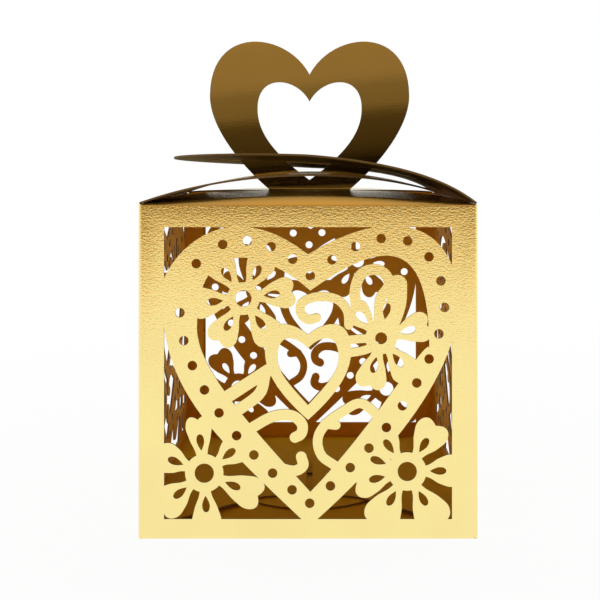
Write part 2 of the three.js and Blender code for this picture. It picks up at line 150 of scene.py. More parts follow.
# Handles: the two hearts by the points of their right halves, above the wall tops
HANDLE_HEART = ((0, 25.6), (4.78, 34.75), (20.8, 36.25), (20.8, 21.1), (20.8, 15.3), (15.6, 7.8), (8.5, 1.7))
GRIP_HEART = ((0, 20), (2.6, 25.1), (10.9, 26.2), (10.9, 18.6), (10.9, 14.3), (8.6, 9.8), (0, 3.6))
HANDLE_CREASE, HANDLE_TURN = 0.25, 87

# Bowed flaps: the bow's curve in reach from the hinge and height above the wall tops, the outer one's roll to
# one side, how far both stop short of the box's front and back, and the slot for the handles
OUTER_BOW = ((0.18, 0.1), (9.9, 7.2), (26.2, 7.6), (58.2, 8.1))
INNER_BOW = ((0.18, 0.1), (17.8, 6.4), (40.2, 6.6), (57.4, 0.8))
OUTER_ROLL = 0.05
BOW_SHORT = 0.4
BOW_STRIPS = 44
SLOT_HALF, SLOT_RADIUS = 22.25, 2.5

# Bottom flaps: their hinge line inside the card, their free corners, and the tongue that rises through a slot
BOTTOM_GAP = 0.05
BOTTOM_HINGE = HALF_DEPTH - CARD - BOTTOM_GAP
BOTTOM_HALF = node_box("bottom_back_flap")[1].x
FLAP_ROUND, FLAP_TAPER = 6, 1
TONGUE_LOW, TONGUE_HIGH = node_box("bottom_tongue")
TONGUE_RADIUS, TONGUE_RAMP = 17, 4.5
SLOT_CLEAR_ACROSS, SLOT_CLEAR_ALONG = 0.9, 0.45
LOBE_OUT, LOBE_DOWN, NOTCH_DOWN = 7, 15.2, 20.2


# Outlines and sheets of card

def corner(x, y):
    """A sharp knot of an outline: its place and both of its handles."""
    return (x, y), (x, y), (x, y)


def arc(x, y, across, up, start, end):
    """The knots of an elliptic arc from one angle to another."""
    count = math.ceil(abs(end - start) / 90)
    step = math.radians(end - start) / count
    pull = 4 / 3 * math.tan(step / 4)
    knots = []
    for i in range(count + 1):
        angle = math.radians(start) + i * step
        at = Vector((x + across * math.cos(angle), y + up * math.sin(angle)))
        along = Vector((-across * math.sin(angle), up * math.cos(angle))) * pull
        knots.append((at, at - along if i else at, at + along if i < count else at))
    return knots


def circle(x, y, radius):
    knots = arc(x, y, radius, radius, 0, 360)
    return [(knots[0][0], knots[-1][1], knots[0][2])] + knots[1:-1]


def mirrored(point):
    return -point[0], point[1]


def mirrored_down(point):
    return point[0], -point[1]


def towards(start, end):
    """The place two thirds of the way from one point to another, where a curve's handle goes."""
    return start[0] + (end[0] - start[0]) * 2 / 3, start[1] + (end[1] - start[1]) * 2 / 3


def heart(right, left=None):
    """The knots of a heart from the seven points of its right half, and of its left half if that differs."""
    left = left or [mirrored(point) for point in right]
    notch, shoulder, crown, widest, waist, flank, tip = right
    _, left_shoulder, left_crown, left_widest, left_waist, left_flank, left_tip = left
    if tip == left_tip or tip[0] == 0:
        ends = [(tip, flank, left_flank)]
    else:
        ends = [(tip, flank, tip), (left_tip, left_tip, left_flank)]
    return [(notch, left_shoulder, shoulder), (widest, crown, waist), *ends,
            (left_widest, left_waist, left_crown)]


def flowing(points):
    """Knots whose outline flows smoothly through the points."""
    return [(point, None, None) for point in points]


def filled_mesh(loops, steps):
    """The flat mesh that fills closed outlines, with each stretch between two knots drawn in some steps."""
    curve = bpy.data.curves.new("outline", "CURVE")
    curve.dimensions = "2D"
    curve.fill_mode = "BOTH"
    curve.resolution_u = steps
    for knots in loops:
        spline = curve.splines.new("BEZIER")
        spline.bezier_points.add(len(knots) - 1)
        spline.use_cyclic_u = True
        for point, (at, before, after) in zip(spline.bezier_points, knots):
            point.co = (*at, 0)
            if before is None:
                point.handle_left_type = point.handle_right_type = "AUTO"
            else:
                point.handle_left = (*before, 0)
                point.handle_right = (*after, 0)
    maker = bpy.data.objects.new("outline", curve)
    bpy.context.scene.collection.objects.link(maker)
    graph = bpy.context.evaluated_depsgraph_get()
    mesh = bpy.data.meshes.new_from_object(maker.evaluated_get(graph))
    bpy.data.objects.remove(maker)
    bpy.data.curves.remove(curve)
    return mesh


def opened(mesh):
    """The mesh as a bmesh, with the mesh removed."""
    bm = bmesh.new()
    bm.from_mesh(mesh)
    bpy.data.meshes.remove(mesh)
    return bm


def sheet(*loops, steps=12):
    """A flat sheet facing up, filled from its outline and the outlines of its holes."""
    bm = opened(filled_mesh(loops, steps))
    bmesh.ops.remove_doubles(bm, verts=bm.verts, dist=0.001)
    bmesh.ops.dissolve_limit(bm, angle_limit=0.01, verts=bm.verts, edges=bm.edges)
    bm.normal_update()
    bmesh.ops.reverse_faces(bm, faces=[face for face in bm.faces if face.normal.z < 0])
    return bm


def prism(bm, low, high):
    """Raises a flat sheet into a closed block for joining and cutting."""
    made = bmesh.ops.extrude_face_region(bm, geom=bm.faces, use_keep_orig=True)
    raised = {v for v in made["geom"] if isinstance(v, bmesh.types.BMVert)}
    for v in bm.verts:
        v.co.z = high if v in raised else low
    bmesh.ops.recalc_face_normals(bm, faces=bm.faces)


def face_up(bm):
    """Makes the faces agree, with the flat of the sheet facing up."""
    bmesh.ops.recalc_face_normals(bm, faces=bm.faces)
    if sum(face.normal.z * face.calc_area() for face in bm.faces) < 0:
        bmesh.ops.reverse_faces(bm, faces=bm.faces)


def turned(bm, middle, degrees):
    """The sheet turned about its origin and moved to its middle."""
    bm.transform(Matrix.Translation((*middle, 0)) @ Matrix.Rotation(math.radians(degrees), 4, "Z"))
    return bm


def slice_across(bm, axis, places):
    """Cuts the sheet into strips so that it can be bowed."""
    normal = Vector((0, 0, 0))
    normal[axis] = 1
    for place in places:
        bmesh.ops.bisect_plane(bm, geom=bm.verts[:] + bm.edges[:] + bm.faces[:], dist=0.001,
                               plane_co=normal * place, plane_no=normal)


def roll_edge(bm, chosen, middle, axis, degrees, steps):
    """Rolls the sheet on round a crease from those of its edges that are chosen and still flat."""
    edges = [edge for edge in bm.edges
             if edge.is_boundary and all(chosen(v.co) and v.co.z > -FLAT for v in edge.verts)]
    verts = list({v for edge in edges for v in edge.verts})
    bmesh.ops.spin(bm, geom=verts + edges, cent=middle, axis=axis, angle=math.radians(degrees), steps=steps)
    face_up(bm)


def join(sheets):
    """All the sheets as one."""
    whole = bmesh.new()
    for bm in sheets:
        mesh = bpy.data.meshes.new("sheet")
        bm.to_mesh(mesh)
        bm.free()
        whole.from_mesh(mesh)
        bpy.data.meshes.remove(mesh)
    return whole


def as_object(name, bm):
    """A new object of the scene that holds the bmesh."""
    mesh = bpy.data.meshes.new(name)
    bm.to_mesh(mesh)
    bm.free()
    thing = bpy.data.objects.new(name, mesh)
    bpy.context.scene.collection.objects.link(thing)
    return thing


def discard(thing):
    """Removes an object with its mesh."""
    mesh = thing.data
    bpy.data.objects.remove(thing)
    bpy.data.meshes.remove(mesh)


def shaped(thing):
    """The object's mesh as its modifiers leave it, with the object removed."""
    graph = bpy.context.evaluated_depsgraph_get()
    mesh = bpy.data.meshes.new_from_object(thing.evaluated_get(graph))
    discard(thing)
    return mesh


# The lattice

def petal(daisy_middle, disc, direction, reach, fullness=FULLNESS):
    """A petal swelling from the daisy's disc to two lobes with a notch between them."""
    swell = fullness * reach
    edge = [(disc, 1), *((along * reach, out * swell) for along, out in PETAL_EDGE)]
    other = [mirrored_down(point) for point in reversed(edge)]
    knots = [corner(0, 1), *flowing(edge), corner(PETAL_NOTCH * reach, 0), *flowing(other), corner(0, -1)]
    return turned(sheet(knots, steps=5), daisy_middle, direction)


def teardrop(daisy_middle, start, direction):
    """A petal's hole, pointed towards the daisy's middle."""
    wide = start + DROP_WIDEST * DROP_LENGTH
    round_end = [(wide, -DROP_WIDTH / 2), (start + DROP_LENGTH, 0), (wide, DROP_WIDTH / 2)]
    return turned(sheet([corner(start, 0), *flowing(round_end)], steps=5), daisy_middle, direction)


def smooth_line(points):
    """Close-set places along a smooth line through the points."""
    knots = [Vector(p) for p in points]
    padded = [2 * knots[0] - knots[1], *knots, 2 * knots[-1] - knots[-2]]
    fine = []
    for before, start, end, after in zip(padded, padded[1:], padded[2:], padded[3:]):
        run = interpolate_bezier(start.to_3d(), (start + (end - before) / 6).to_3d(),
                                 (end - (after - start) / 6).to_3d(), end.to_3d(), STROKE_STEPS)
        fine += [p.to_2d() for p in run[:-1]]
    return [*fine, knots[-1]]


def ribbon(width, points):
    """A scroll's stroke: two offset lines filled between, and a round disc at each end."""
    fine = smooth_line(points)
    sides = {1: [], -1: []}
    for before, at, after in zip([fine[0], *fine], fine, [*fine[1:], fine[-1]]):
        along = (after - before).normalized()
        for hand, line in sides.items():
            edge = at + hand * width / 2 * Vector((-along.y, along.x))
            clear = min((edge - other).length for other in fine) > 0.49 * width
            if clear and (not line or (edge - line[-1]).length > STROKE_SPACING):
                line.append(edge)
    ends = [sheet(circle(*end, width / 2), steps=4) for end in (fine[0], fine[-1])]
    return [sheet([corner(*edge) for edge in sides[1] + sides[-1][::-1]], steps=1), *ends]


def ring_dots(count):
    """Places along the middle of the ring, with some in each half and one at its notch and its tip."""
    dots = [RING_MIDDLE[0][0], RING_MIDDLE[0][-1]]
    for half, shifts in zip(RING_MIDDLE, DOT_SHIFTS):
        notch, shoulder, crown, widest, waist, flank, tip = [Vector((*p, 0)) for p in half]
        line = interpolate_bezier(notch, shoulder, crown, widest, 60)
        line += interpolate_bezier(widest, waist, flank, tip, 60)[1:]
        lengths = [0]
        for start, end in zip(line, line[1:]):
            lengths.append(lengths[-1] + (end - start).length)
        for i in range(1, count + 1):
            aim = lengths[-1] * (i + shifts.get(i, 0)) / (count + 1)
            k = next(j for j, length in enumerate(lengths) if length > aim)
            at = line[k - 1].lerp(line[k], (aim - lengths[k - 1]) / (lengths[k] - lengths[k - 1]))
            dots.append(at.to_2d())
    return dots


def lattice_motifs(dots):
    """The lattice's motifs and the holes in them, each as one sheet in the pattern's units."""
    motifs = [sheet(heart(*RING_OUTER), heart(*RING_INNER), steps=24),
              sheet(heart(CENTRE_OUTER), heart(CENTRE_INNER), steps=16)]
    for width, *points in SCROLLS:
        motifs += ribbon(width, points)
    holes = [sheet(circle(*at, RING_DOT_RADIUS), steps=5) for at in ring_dots(dots)]
    for middle, eye, disc, drop, petals in DAISIES:
        motifs.append(sheet(circle(*middle, disc), steps=8))
        holes.append(sheet(circle(*middle, eye), steps=7))
        for direction, *size in petals:
            motifs.append(petal(middle, disc, direction, *size))
            holes.append(teardrop(middle, drop, direction))
    return join(motifs), join(holes)


def pierced_block(border, motifs, holes):
    """The mesh of the border's block with the motifs joined to it and the holes cut out of both."""
    prism(border, 0, 1)
    prism(motifs, 0, 1)
    prism(holes, -1, 2)
    border = as_object("border", border)
    motifs, holes = as_object("motifs", motifs), as_object("holes", holes)
    for name, operation, other in (("motifs", "UNION", motifs), ("holes", "DIFFERENCE", holes)):
        cut = border.modifiers.new(name, "BOOLEAN")
        cut.solver = "EXACT"
        cut.operation = operation
        cut.use_self = operation == "UNION"
        cut.object = other
    mesh = shaped(border)
    discard(motifs)
    discard(holes)
    return mesh


def crumbs(bm):
    """The faces that aren't part of the sheet's largest island."""
    left, largest = set(bm.faces), set()
    while left:
        island, fresh = set(), {left.pop()}
        while fresh:
            island |= fresh
            fresh = {other for face in fresh for edge in face.edges for other in edge.link_faces} - island
        left -= island
        if len(island) > len(largest):
            largest = island
    return [face for face in bm.faces if face not in largest]


def upper_face(mesh):
    """The upper face of a pierced block as one flat sheet, facing up and without crumbs."""
    bm = opened(mesh)
    bmesh.ops.delete(bm, geom=[face for face in bm.faces if face.normal.z < 0.5], context="FACES")
    for v in bm.verts:
        v.co.z = 0
    bmesh.ops.remove_doubles(bm, verts=bm.verts, dist=0.003)
    bmesh.ops.dissolve_limit(bm, angle_limit=0.002, verts=bm.verts, edges=bm.edges)
    bmesh.ops.delete(bm, geom=crumbs(bm), context="FACES")
    bmesh.ops.delete(bm, geom=[edge for edge in bm.edges if edge.is_wire], context="EDGES")
    bmesh.ops.delete(bm, geom=[v for v in bm.verts if not v.link_faces], context="VERTS")
    face_up(bm)
    return bm


def lattice_sheet(half_flat, low, high, settings):
    """The pierced sheet of one wall between its corner bends, X across and Y up, facing up."""
    side = HALF_WIDTH - settings.side_border / MM
    bottom, top = settings.bottom_border / MM, WALL_HEIGHT - settings.top_border / MM
    border = sheet([corner(-half_flat, low), corner(half_flat, low), corner(half_flat, high),
                    corner(-half_flat, high)],
                   [corner(-side, bottom), corner(-side, top), corner(side, top), corner(side, bottom)])
    stretch = Matrix.Diagonal((2 * side / PATTERN_ACROSS, (top - bottom) / PATTERN_UP, 1, 1))
    fit = (Matrix.Translation((0, (bottom + top) / 2, 0)) @ stretch
           @ Matrix.Translation((0, -PATTERN_MIDDLE, 0)))
    motifs, holes = lattice_motifs(settings.ring_dots)
    motifs.transform(fit)
    holes.transform(fit)
    return upper_face(pierced_block(border, motifs, holes))


# Lid and bottom flaps

def lid_leaf(half_hinge, half_end, reach):
    """An inner lid flap, Y from its hinge: round sides, a lip that meets the wall, and a crown that fades."""
    turn = math.degrees(math.acos(half_end / half_hinge))
    bulge = reach / math.sin(math.radians(turn))
    bm = sheet([*arc(0, -LID_LIP, half_hinge, bulge, 0, turn),
                *arc(0, -LID_LIP, half_hinge, bulge, 180 - turn, 180)])
    at_hinge = [*(0.1 * i - LID_LIP for i in range(1, 8)), 0.38, 0.45, 0.7]
    slice_across(bm, 1, [*at_hinge, *(reach * i / 9 for i in range(1, 9))])
    slice_across(bm, 0, [half_hinge * i / 10 for i in range(-9, 10)])
    for v in bm.verts:
        crown = LID_CROWN * math.cos(min(1, abs(v.co.x) / half_hinge) * math.pi / 2)
        risen = 1 - (1 - min(1, (v.co.y + LID_LIP) / LID_RISE)) ** 1.25
        drop = LIP_DROP * (min(0, v.co.y) / LID_LIP) ** 2
        v.co.z = crown * risen * (1 - v.co.y / reach) - drop
    face_up(bm)
    return bm


def heart_handle():
    """A heart handle standing up in Y, with its foot rolled on to meet its lid flap."""
    foot = HANDLE_HEART[-1][1]
    bm = sheet(heart(HANDLE_HEART), heart(GRIP_HEART), steps=24)
    roll_edge(bm, lambda p: p.y < foot + NEAR, (0, foot, HANDLE_CREASE), (1, 0, 0), -HANDLE_TURN, 4)
    return bm


def bowed_flap(bow, roll):
    """An outer lid flap, X from its hinge: a round end, a slot, and the bow's curve."""
    half = HALF_DEPTH - BOW_SHORT
    start, reach = bow[0][0], bow[-1][0]
    slot_end = SLOT_HALF - SLOT_RADIUS
    slot = [*arc(HALF_WIDTH + slot_end, 0, SLOT_RADIUS, SLOT_RADIUS, -90, 90),
            *arc(HALF_WIDTH - slot_end, 0, SLOT_RADIUS, SLOT_RADIUS, 90, 270)]
    bm = sheet(arc(start, 0, reach - start, half, -90, 90), slot, steps=28)
    slice_across(bm, 0, [start + (reach - start) * i / BOW_STRIPS for i in range(1, BOW_STRIPS)])
    slice_across(bm, 1, [half * i / 4 for i in range(-3, 4)])
    line = interpolate_bezier(*[Vector((*p, 0)) for p in bow], 160)
    for v in bm.verts:
        k = max(1, next((j for j, p in enumerate(line) if p.x >= v.co.x - 1e-6), len(line) - 1))
        before, after = line[k - 1], line[k]
        share = min(1, max(0, (v.co.x - before.x) / (after.x - before.x)))
        rolled = roll * min(1, v.co.x / HALF_WIDTH) * v.co.y
        v.co.z = before.y + (after.y - before.y) * share + rolled
    face_up(bm)
    return bm


def free_corners(reach):
    """The rounded corners at a bottom flap's free end, the right one and the left one."""
    middle = BOTTOM_HALF - FLAP_ROUND - FLAP_TAPER
    return (arc(middle, reach - FLAP_ROUND, FLAP_ROUND, FLAP_ROUND, 0, 90),
            arc(-middle, reach - FLAP_ROUND, FLAP_ROUND, FLAP_ROUND, 90, 180))


def tongued_flap():
    """The back bottom flap, Y from its hinge, with its tongue bent up to lie on the front flap."""
    reach = BOTTOM_HINGE - node_box("bottom_back_flap")[0].y
    tip = BOTTOM_HINGE - TONGUE_LOW.y
    turn = math.degrees(math.asin(TONGUE_HIGH.x / TONGUE_RADIUS))
    right, left = free_corners(reach)
    bm = sheet([corner(-BOTTOM_HALF, BOTTOM_GAP), corner(BOTTOM_HALF, BOTTOM_GAP), *right,
                corner(TONGUE_HIGH.x, reach),
                *arc(0, tip - TONGUE_RADIUS, TONGUE_RADIUS, TONGUE_RADIUS, 90 - turn, 90 + turn),
                corner(-TONGUE_HIGH.x, reach), *left])
    ramp_start = BOTTOM_HINGE - TONGUE_HIGH.y
    slice_across(bm, 1, [ramp_start + TONGUE_RAMP * i / 6 for i in range(7)])
    for v in bm.verts:
        share = min(1, max(0, (v.co.y - ramp_start) / TONGUE_RAMP))
        v.co.z = CARD + (TONGUE_HIGH.z - CARD) * share * share * (3 - 2 * share)
    face_up(bm)
    return bm


def slotted_flap(reach):
    """The front bottom flap, Y from its hinge, with the slot that the tongue rises through."""
    middle = BOTTOM_HINGE + TONGUE_HIGH.y - TONGUE_RAMP / 2
    half, up = TONGUE_HIGH.x + SLOT_CLEAR_ACROSS, TONGUE_RAMP / 2 + SLOT_CLEAR_ALONG
    slot = [corner(-half, middle - up), corner(-half, middle + up), corner(half, middle + up),
            corner(half, middle - up)]
    right, left = free_corners(reach)
    return sheet([corner(-BOTTOM_HALF, BOTTOM_GAP), corner(BOTTOM_HALF, BOTTOM_GAP), *right, *left], slot)


def side_flap(hinge, far, seam):
    """A bottom side flap between its hinge and the seam: two lobes with a notch between them."""
    lobe, notch = (seam + LOBE_OUT, far - LOBE_DOWN), (seam, far - NOTCH_DOWN)
    dip = (seam, lobe[1] - 1)
    sweep_out, sweep_in = (0.55 * hinge, 0.7 * far), (1.5 * lobe[0], lobe[1] + 0.7)
    upper = [((hinge, far), (hinge, far), sweep_out), (lobe, sweep_in, towards(lobe, dip)),
             (notch, towards(notch, dip), notch)]
    lower = [tuple(mirrored_down(p) for p in (at, after, before)) for at, before, after in reversed(upper)]
    return sheet(upper + lower)


# Finished pieces

STAND_UP = Matrix.Rotation(math.pi / 2, 4, "X")  # brings a sheet that lies facing up to face the front


def card_piece(name, bm, body, nodes, place, finishes, settings, side=-1):
    """Thickens a sheet into card, places it and gives it to a body. finishes: face, back and cut edge."""
    bm.transform(Matrix.Scale(MM, 4) @ place)
    thing = as_object("sheet", bm)
    wall = thing.modifiers.new("card", "SOLIDIFY")
    wall.thickness = settings.thickness
    wall.offset = side
    wall.use_even_offset = True
    wall.material_offset = 1
    wall.material_offset_rim = 2
    for finish in finishes:
        thing.data.materials.append(finish)
    mesh = shaped(thing)
    mesh.name = name
    bm = bmesh.new()
    bm.from_mesh(mesh)
    for face in bm.faces:
        face.smooth = True
    for edge in bm.edges:
        edge.smooth = len(edge.link_faces) == 2 and edge.calc_face_angle() < math.radians(35)
    bm.to_mesh(mesh)
    bm.free()
    piece = bpy.data.objects.new(name, mesh)
    bpy.context.scene.collection.objects.link(piece)
    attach(piece, body)
    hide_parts(*nodes)
    return piece


def quarter_turns(count):
    return Matrix.Rotation(count * math.pi / 2, 4, "Z")


def upright(quarter, out):
    """Stands a sheet up as the box's front, facing out, and turns it by quarters about the box's middle."""
    return quarter_turns(quarter) @ Matrix.Translation((0, -out, 0)) @ STAND_UP


# Materials

def node(tree, kind, **values):
    """A new node with its inputs and its properties set by name."""
    made = tree.nodes.new(kind)
    for name, value in values.items():
        if name in made.inputs:
            made.inputs[name].default_value = value
        else:
            setattr(made, name, value)
    return made


def new_material(name):
    """A new material, with its tree and its shader."""
    material = bpy.data.materials.new(name)
    material.use_nodes = True
    tree = material.node_tree
    return material, tree, tree.nodes["Principled BSDF"]


def object_coords(tree):
    return tree.nodes.new("ShaderNodeTexCoord").outputs["Object"]


def ramp(tree, grey, stops):
    """A colour that follows a grey value from stop to stop."""
    made = tree.nodes.new("ShaderNodeValToRGB")
    made.color_ramp.elements[0].position, made.color_ramp.elements[0].color = stops[0]
    made.color_ramp.elements[1].position, made.color_ramp.elements[1].color = stops[-1]
    for position, colour in stops[1:-1]:
        made.color_ramp.elements.new(position).color = colour
    tree.links.new(grey, made.inputs["Fac"])
    return made.outputs["Color"]


def noise(tree, coords, **values):
    """The grey value of a noise texture."""
    made = node(tree, "ShaderNodeTexNoise", **values)
    tree.links.new(coords, made.inputs["Vector"])
    return made.outputs["Fac"]


def mottle(tree, shader, grey, dark, light):
    """Lets the base colour wander between two colours."""
    tree.links.new(ramp(tree, grey, [(0.3, dark), (0.7, light)]), shader.inputs["Base Color"])


def roughen(tree, shader, height, strength, depth):
    """Raises a fine relief on the surface."""
    bump = node(tree, "ShaderNodeBump", Strength=strength, Distance=depth)
    tree.links.new(height, bump.inputs["Height"])
    tree.links.new(bump.outputs["Normal"], shader.inputs["Normal"])


def tinted(colour, factor):
    return (*(min(1, channel * factor) for channel in colour[:3]), 1)


def pearl_card(name, colour, grain, depth, roughness, metal, grain_size):
    """Pearl-coated card: metallic satin over a fine grain, drawn out along X, Y and Z by grain."""
    material, tree, shader = new_material(name)
    coords = object_coords(tree)
    stretch = node(tree, "ShaderNodeMapping", Scale=[1 / (length * grain_size) for length in grain])
    tree.links.new(coords, stretch.inputs["Vector"])
    grains = noise(tree, stretch.outputs["Vector"], Scale=1, Detail=2.5, Roughness=0.55)
    clouds = noise(tree, coords, Scale=70, Detail=3)
    mottle(tree, shader, clouds, tinted(colour, 0.97), tinted(colour, 1.02))
    flecks = noise(tree, coords, Scale=6000, Detail=1)
    gloss = node(tree, "ShaderNodeMapRange", **{"To Min": roughness * 0.85, "To Max": roughness * 1.15})
    tree.links.new(flecks, gloss.inputs["Value"])
    tree.links.new(gloss.outputs["Result"], shader.inputs["Roughness"])
    shader.inputs["Metallic"].default_value = metal
    shader.inputs["Specular IOR Level"].default_value = 0.3 if metal else 0.05
    roughen(tree, shader, grains, 1, depth)
    return material


def cut_card(name, colour):
    """The laser-cut edge: fine fibres on a dark brown."""
    material, tree, shader = new_material(name)
    fibres = noise(tree, object_coords(tree), Scale=2500, Detail=2)
    mottle(tree, shader, fibres, tinted(colour, 0.8), tinted(colour, 1.05))
    shader.inputs["Roughness"].default_value = 0.75
    roughen(tree, shader, fibres, 0.5, 0.00002)
    return material


def clear_adhesive(name):
    """A dried film of glue, glossy and faintly uneven in colour."""
    material, tree, shader = new_material(name)
    beads = noise(tree, object_coords(tree), Scale=900, Detail=2)
    mottle(tree, shader, beads, (0.78, 0.72, 0.56, 1), (0.9, 0.85, 0.7, 1))
    shader.inputs["Roughness"].default_value = 0.25
    return material


def seen_share(tree, share=None):
    """How much of the plain white shows to the camera, in gloss and through clear things."""
    path = tree.nodes.new("ShaderNodeLightPath")
    seen = path.outputs["Is Camera Ray"]
    for kind in ("Is Glossy Ray", "Is Transmission Ray"):
        either = node(tree, "ShaderNodeMath", operation="MAXIMUM")
        tree.links.new(seen, either.inputs[0])
        tree.links.new(path.outputs[kind], either.inputs[1])
        seen = either.outputs["Value"]
    if share:
        part = node(tree, "ShaderNodeMath", operation="MULTIPLY")
        tree.links.new(seen, part.inputs[0])
        tree.links.new(share, part.inputs[1])
        seen = part.outputs["Value"]
    return seen


# Settings

class BoxCardSettings(bpy.types.PropertyGroup):
    thickness: FloatProperty(name="Thickness", description="Thickness of the card", default=CARD * MM,
                             subtype="DISTANCE", precision=5)
    corner_radius: FloatProperty(name="Corner radius", description="Outer radius of the upright corner bends",
                                 default=0.0006, subtype="DISTANCE", precision=5)
    crease_radius: FloatProperty(name="Crease radius", default=0.00045, subtype="DISTANCE", precision=5,
                                 description="Outer radius of the creases at the walls' ends")
    gloss: FloatProperty(name="Roughness", description="Roughness of the pearl coating", default=0.2,
                         min=0.1, max=0.9)
    grain_size: FloatProperty(name="Grain size", description="Height of one grain of the coating",
                              default=0.00026, subtype="DISTANCE", precision=5)


class BoxColourSettings(bpy.types.PropertyGroup):
    outside: FloatVectorProperty(name="Outside", description="Pearl coating outside", subtype="COLOR", size=4,
                                 min=0, max=1, default=(1, 0.83, 0.35, 1))
    # The inside colour is the outside gold made darker and browner: painted shade of the box's interior
    inside: FloatVectorProperty(name="Inside", description="Coating inside", subtype="COLOR", size=4,
                                min=0, max=1, default=(0.82, 0.47, 0.045, 1))
    # The flaps' inner colour is painted shade too: on the floor inside the box and under the lid flaps
    shaded: FloatVectorProperty(name="Inside of flaps", description="Duller coating inside the flaps",
                                subtype="COLOR", size=4, min=0, max=1, default=(0.64, 0.37, 0.006, 1))
    cut_edge: FloatVectorProperty(name="Cut edge", description="Laser-cut edge of the card", subtype="COLOR",
                                  size=4, min=0, max=1, default=(0.25, 0.17, 0.065, 1))


class BoxLatticeSettings(bpy.types.PropertyGroup):
    side_border: FloatProperty(name="Side border", description="Plain card beside the lattice",
                               default=0.0046, subtype="DISTANCE", precision=4)
    top_border: FloatProperty(name="Top border", description="Plain card above the lattice", default=0.0041,
                              subtype="DISTANCE", precision=4)
    bottom_border: FloatProperty(name="Bottom border", description="Plain card below the lattice",
                                 default=0.0036, subtype="DISTANCE", precision=4)
    ring_dots: IntProperty(name="Ring dots", default=15, min=3,
                           description="Dots in each half of the heart ring, between its ends")


class BoxStageSettings(bpy.types.PropertyGroup):
    eye: FloatVectorProperty(name="Camera", description="Where the camera stands", subtype="TRANSLATION",
                             size=3, default=(0.00176, -0.1914, 0.0668))
    lens: FloatProperty(name="Lens", description="Focal length in millimetres on a 36 mm sensor",
                        default=54.9)
    softbox: FloatProperty(name="Softbox", description="Power of the overhead softbox in watts", default=16)
    sky: FloatProperty(name="Sky", description="Strength of the even light from all round", default=0.42)
    shadow_reach: FloatProperty(name="Shadow reach", default=0.2, subtype="DISTANCE",
                                description="How far round the box the floor keeps its shadow")
    flag_distance: FloatProperty(name="Flag", description="How far in front the brown flag stands",
                                 default=0.46, subtype="DISTANCE")
    flag_foot: FloatProperty(name="Flag foot", description="Height of the brown flag's lower edge",
                             default=0.042, subtype="DISTANCE")
    strip_foot: FloatProperty(name="Amber foot", default=0.012, subtype="DISTANCE",
                              description="Height of the lower edge of the amber strip under the flag")


DULLER = 0.45  # how much rougher the coating is inside


def finishes(scene, grain, up="outside", depth=0.00003, gloss=0, inner="inside"):
    """The three finishes of one piece: the face that its sheet faces, the other face and the cut edge."""
    colours, card = scene.paper_box_colours, scene.paper_box_card
    # Only the outside is the card's own gold; the others are painted shade: inside for the interior, shaded
    # for the floor and the lid flaps' undersides, and the darkest for the bows' undersides
    kinds = {
        "outside": (colours.outside, 0, 1),
        "inside": (colours.inside, DULLER, 0.8),
        "shaded": (colours.shaded, DULLER, 0),
        "darkest": (tinted(colours.shaded, 0.2), DULLER, 0),
    }
    made = []
    for kind in ("outside", inner):
        colour, duller, metal = kinds[kind]
        roughness = (gloss or card.gloss) + duller
        name = f"pearl_{kind}_{'_'.join(str(g) for g in grain)}_{int(depth * 1e8)}"
        made.append(bpy.data.materials.get(name)
                    or pearl_card(name, colour, grain, depth, roughness, metal, card.grain_size))
    if up == "inside":
        made.reverse()
    return [*made, bpy.data.materials.get("cut_edge") or cut_card("cut_edge", colours.cut_edge)]


# Floor, glowing cards, light and camera, in metres

FLOOR_HALF, FLOOR_DROP = 4, 0.00005
WHITE_AT_BOX = 0.95  # how much of the floor's plain white is left at the box, where its shadow falls
CARDS_WIDTH, FLAG_TOP, HOOD_BACK = 2.4, 1.2, 0.25
FLAG_SLANT = 0.1

# The brown flag's colours by height: the hearts mirror those below 0.16, and the bumps of the card the others
BROWNS = [
    (0.064, (0.006, 0.003, 0.001, 1)), (0.072, (0.05, 0.029, 0.01, 1)), (0.097, (0.075, 0.044, 0.016, 1)),
    (0.1, (0.19, 0.12, 0.05, 1)), (0.119, (0.21, 0.135, 0.06, 1)), (0.122, (0.3, 0.19, 0.09, 1)),
    (0.155, (0.32, 0.2, 0.09, 1)), (0.17, (0.8, 0.4, 0.1, 1)), (0.24, (0.8, 0.4, 0.1, 1)),
    (0.27, (0.62, 0.41, 0.22, 1)), (1, (0.05, 0.03, 0.012, 1)),
]
BROWN_GLOW = 0.88
AMBER = (1, 0.6, 0.18, 1)
AMBER_GLOW = 1.25
SOFTBOX_SIZE = (2.4, 1.6)
SOFTBOX_PLACE = (0, 0.7, 1.3)
VIEW_SHIFT = (-0.03, -0.232)


def white_floor(shadow_reach):
    """A pale floor that keeps the box's shadow and fades to plain white away from it."""
    bm = bmesh.new()
    bmesh.ops.create_grid(bm, x_segments=1, y_segments=1, size=FLOOR_HALF)
    bmesh.ops.translate(bm, verts=bm.verts, vec=(0, 0, -FLOOR_DROP))
    floor = as_object("floor", bm)
    material, tree, shader = new_material("white_table")
    shader.inputs["Base Color"].default_value = (0.9, 0.9, 0.9, 1)
    shader.inputs["Roughness"].default_value = 0.9
    shader.inputs["Specular IOR Level"].default_value = 0.2
    reach = node(tree, "ShaderNodeMapping", Scale=[1 / shadow_reach] * 3)
    near = node(tree, "ShaderNodeTexGradient", gradient_type="SPHERICAL")
    white = node(tree, "ShaderNodeMapRange", **{"To Min": 1, "To Max": WHITE_AT_BOX})
    glow = node(tree, "ShaderNodeEmission", Color=(1, 1, 1, 1), Strength=1)
    mix = tree.nodes.new("ShaderNodeMixShader")
    tree.links.new(object_coords(tree), reach.inputs["Vector"])
    tree.links.new(reach.outputs["Vector"], near.inputs["Vector"])
    tree.links.new(near.outputs["Fac"], white.inputs["Value"])
    tree.links.new(seen_share(tree, white.outputs["Result"]), mix.inputs["Fac"])
    tree.links.new(shader.outputs["BSDF"], mix.inputs[1])
    tree.links.new(glow.outputs["Emission"], mix.inputs[2])
    tree.links.new(mix.outputs["Shader"], tree.nodes["Material Output"].inputs["Surface"])
    floor.data.materials.append(material)
    return floor


